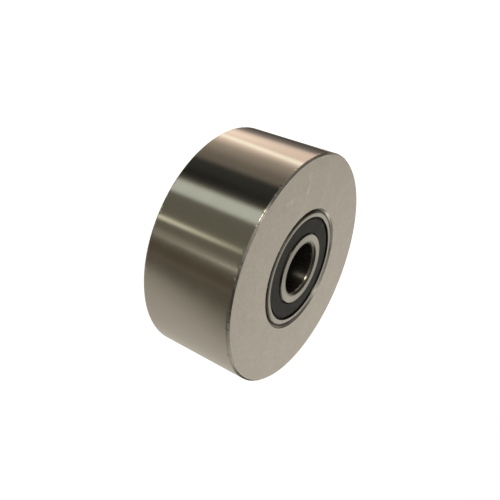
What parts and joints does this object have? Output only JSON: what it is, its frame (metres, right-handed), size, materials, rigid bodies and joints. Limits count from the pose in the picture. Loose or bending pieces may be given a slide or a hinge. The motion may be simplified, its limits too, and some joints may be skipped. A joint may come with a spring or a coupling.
{
  "type": "wire rope guide roller",
  "caption": "Plain cylindrical steel guide roller that turns on sealed ball bearings, one pressed into each end, for an axle through the bore.",
  "frame": {"origin": "centre of the bore, halfway along the roller's width", "axes": "+Z along the roller's axis; the roller stands on one flat end face, and the end seen in the picture faces +Z"},
  "size_m": [0.093, 0.093, 0.0388],
  "materials": {
    "ground_steel": "ground rolling face, turned end faces",
    "ring_steel": "fine ground bearing steel",
    "ball_steel": "lapped and polished",
    "cage_steel": "pressed sheet, bright",
    "spacer_steel": "turned tube",
    "seal_rubber": "moulded, matt"
  },
  "bodies": {
    "axle_side": {"upper_inner_ring": "ring_steel", "lower_inner_ring": "ring_steel", "spacer_sleeve": "spacer_steel"},
    "roller": {"roller_body": "ground_steel", "upper_outer_ring": "ring_steel", "upper_outer_seal": "seal_rubber", "upper_inner_seal": "seal_rubber", "lower_outer_ring": "ring_steel", "lower_outer_seal": "seal_rubber", "lower_inner_seal": "seal_rubber"},
    "upper_cage": {"upper_cage_outer_half": "cage_steel", "upper_cage_inner_half": "cage_steel", "upper_cage_rivets": "cage_steel"},
    "lower_cage": {"lower_cage_outer_half": "cage_steel", "lower_cage_inner_half": "cage_steel", "lower_cage_rivets": "cage_steel"},
    "upper_ball_1": {"upper_ball_1": "ball_steel"},
    "upper_ball_2": {"upper_ball_2": "ball_steel"},
    "upper_ball_3": {"upper_ball_3": "ball_steel"},
    "upper_ball_4": {"upper_ball_4": "ball_steel"},
    "upper_ball_5": {"upper_ball_5": "ball_steel"},
    "upper_ball_6": {"upper_ball_6": "ball_steel"},
    "upper_ball_7": {"upper_ball_7": "ball_steel"},
    "upper_ball_8": {"upper_ball_8": "ball_steel"},
    "lower_ball_1": {"lower_ball_1": "ball_steel"},
    "lower_ball_2": {"lower_ball_2": "ball_steel"},
    "lower_ball_3": {"lower_ball_3": "ball_steel"},
    "lower_ball_4": {"lower_ball_4": "ball_steel"},
    "lower_ball_5": {"lower_ball_5": "ball_steel"},
    "lower_ball_6": {"lower_ball_6": "ball_steel"},
    "lower_ball_7": {"lower_ball_7": "ball_steel"},
    "lower_ball_8": {"lower_ball_8": "ball_steel"}
  },
  "joints": [
    {"name": "roller_spin", "type": "hinge", "parent": "axle_side", "child": "roller", "pos_m": [0, 0, 0], "axis": [0, 0, 1], "continuous": true},
    {"name": "upper_cage_orbit", "type": "hinge", "parent": "axle_side", "child": "upper_cage", "pos_m": [0, 0, 0.0123], "axis": [0, 0, 1], "continuous": true},
    {"name": "lower_cage_orbit", "type": "hinge", "parent": "axle_side", "child": "lower_cage", "pos_m": [0, 0, -0.0123], "axis": [0, 0, 1], "continuous": true},
    {"name": "upper_ball_1_spin", "type": "hinge", "parent": "upper_cage", "child": "upper_ball_1", "pos_m": [0.01675, 0, 0.0123], "axis": [0, 0, 1], "continuous": true},
    {"name": "upper_ball_2_spin", "type": "hinge", "parent": "upper_cage", "child": "upper_ball_2", "pos_m": [0.01184, 0.01184, 0.0123], "axis": [0, 0, 1], "continuous": true},
    {"name": "upper_ball_3_spin", "type": "hinge", "parent": "upper_cage", "child": "upper_ball_3", "pos_m": [0, 0.01675, 0.0123], "axis": [0, 0, 1], "continuous": true},
    {"name": "upper_ball_4_spin", "type": "hinge", "parent": "upper_cage", "child": "upper_ball_4", "pos_m": [-0.01184, 0.01184, 0.0123], "axis": [0, 0, 1], "continuous": true},
    {"name": "upper_ball_5_spin", "type": "hinge", "parent": "upper_cage", "child": "upper_ball_5", "pos_m": [-0.01675, 0, 0.0123], "axis": [0, 0, 1], "continuous": true},
    {"name": "upper_ball_6_spin", "type": "hinge", "parent": "upper_cage", "child": "upper_ball_6", "pos_m": [-0.01184, -0.01184, 0.0123], "axis": [0, 0, 1], "continuous": true},
    {"name": "upper_ball_7_spin", "type": "hinge", "parent": "upper_cage", "child": "upper_ball_7", "pos_m": [0, -0.01675, 0.0123], "axis": [0, 0, 1], "continuous": true},
    {"name": "upper_ball_8_spin", "type": "hinge", "parent": "upper_cage", "child": "upper_ball_8", "pos_m": [0.01184, -0.01184, 0.0123], "axis": [0, 0, 1], "continuous": true},
    {"name": "lower_ball_1_spin", "type": "hinge", "parent": "lower_cage", "child": "lower_ball_1", "pos_m": [0.01675, 0, -0.0123], "axis": [0, 0, 1], "continuous": true},
    {"name": "lower_ball_2_spin", "type": "hinge", "parent": "lower_cage", "child": "lower_ball_2", "pos_m": [0.01184, 0.01184, -0.0123], "axis": [0, 0, 1], "continuous": true},
    {"name": "lower_ball_3_spin", "type": "hinge", "parent": "lower_cage", "child": "lower_ball_3", "pos_m": [0, 0.01675, -0.0123], "axis": [0, 0, 1], "continuous": true},
    {"name": "lower_ball_4_spin", "type": "hinge", "parent": "lower_cage", "child": "lower_ball_4", "pos_m": [-0.01184, 0.01184, -0.0123], "axis": [0, 0, 1], "continuous": true},
    {"name": "lower_ball_5_spin", "type": "hinge", "parent": "lower_cage", "child": "lower_ball_5", "pos_m": [-0.01675, 0, -0.0123], "axis": [0, 0, 1], "continuous": true},
    {"name": "lower_ball_6_spin", "type": "hinge", "parent": "lower_cage", "child": "lower_ball_6", "pos_m": [-0.01184, -0.01184, -0.0123], "axis": [0, 0, 1], "continuous": true},
    {"name": "lower_ball_7_spin", "type": "hinge", "parent": "lower_cage", "child": "lower_ball_7", "pos_m": [0, -0.01675, -0.0123], "axis": [0, 0, 1], "continuous": true},
    {"name": "lower_ball_8_spin", "type": "hinge", "parent": "lower_cage", "child": "lower_ball_8", "pos_m": [0.01184, -0.01184, -0.0123], "axis": [0, 0, 1], "continuous": true}
  ],
  "couplings": [
    {"joint": "upper_cage_orbit", "follows": "roller_spin", "ratio": 0.61851},
    {"joint": "lower_cage_orbit", "follows": "roller_spin", "ratio": 0.61851},
    {"joint": "upper_ball_1_spin", "follows": "roller_spin", "ratio": 1.9911},
    {"joint": "upper_ball_2_spin", "follows": "roller_spin", "ratio": 1.9911},
    {"joint": "upper_ball_3_spin", "follows": "roller_spin", "ratio": 1.9911},
    {"joint": "upper_ball_4_spin", "follows": "roller_spin", "ratio": 1.9911},
    {"joint": "upper_ball_5_spin", "follows": "roller_spin", "ratio": 1.9911},
    {"joint": "upper_ball_6_spin", "follows": "roller_spin", "ratio": 1.9911},
    {"joint": "upper_ball_7_spin", "follows": "roller_spin", "ratio": 1.9911},
    {"joint": "upper_ball_8_spin", "follows": "roller_spin", "ratio": 1.9911},
    {"joint": "lower_ball_1_spin", "follows": "roller_spin", "ratio": 1.9911},
    {"joint": "lower_ball_2_spin", "follows": "roller_spin", "ratio": 1.9911},
    {"joint": "lower_ball_3_spin", "follows": "roller_spin", "ratio": 1.9911},
    {"joint": "lower_ball_4_spin", "follows": "roller_spin", "ratio": 1.9911},
    {"joint": "lower_ball_5_spin", "follows": "roller_spin", "ratio": 1.9911},
    {"joint": "lower_ball_6_spin", "follows": "roller_spin", "ratio": 1.9911},
    {"joint": "lower_ball_7_spin", "follows": "roller_spin", "ratio": 1.9911},
    {"joint": "lower_ball_8_spin", "follows": "roller_spin", "ratio": 1.9911}
  ]
}
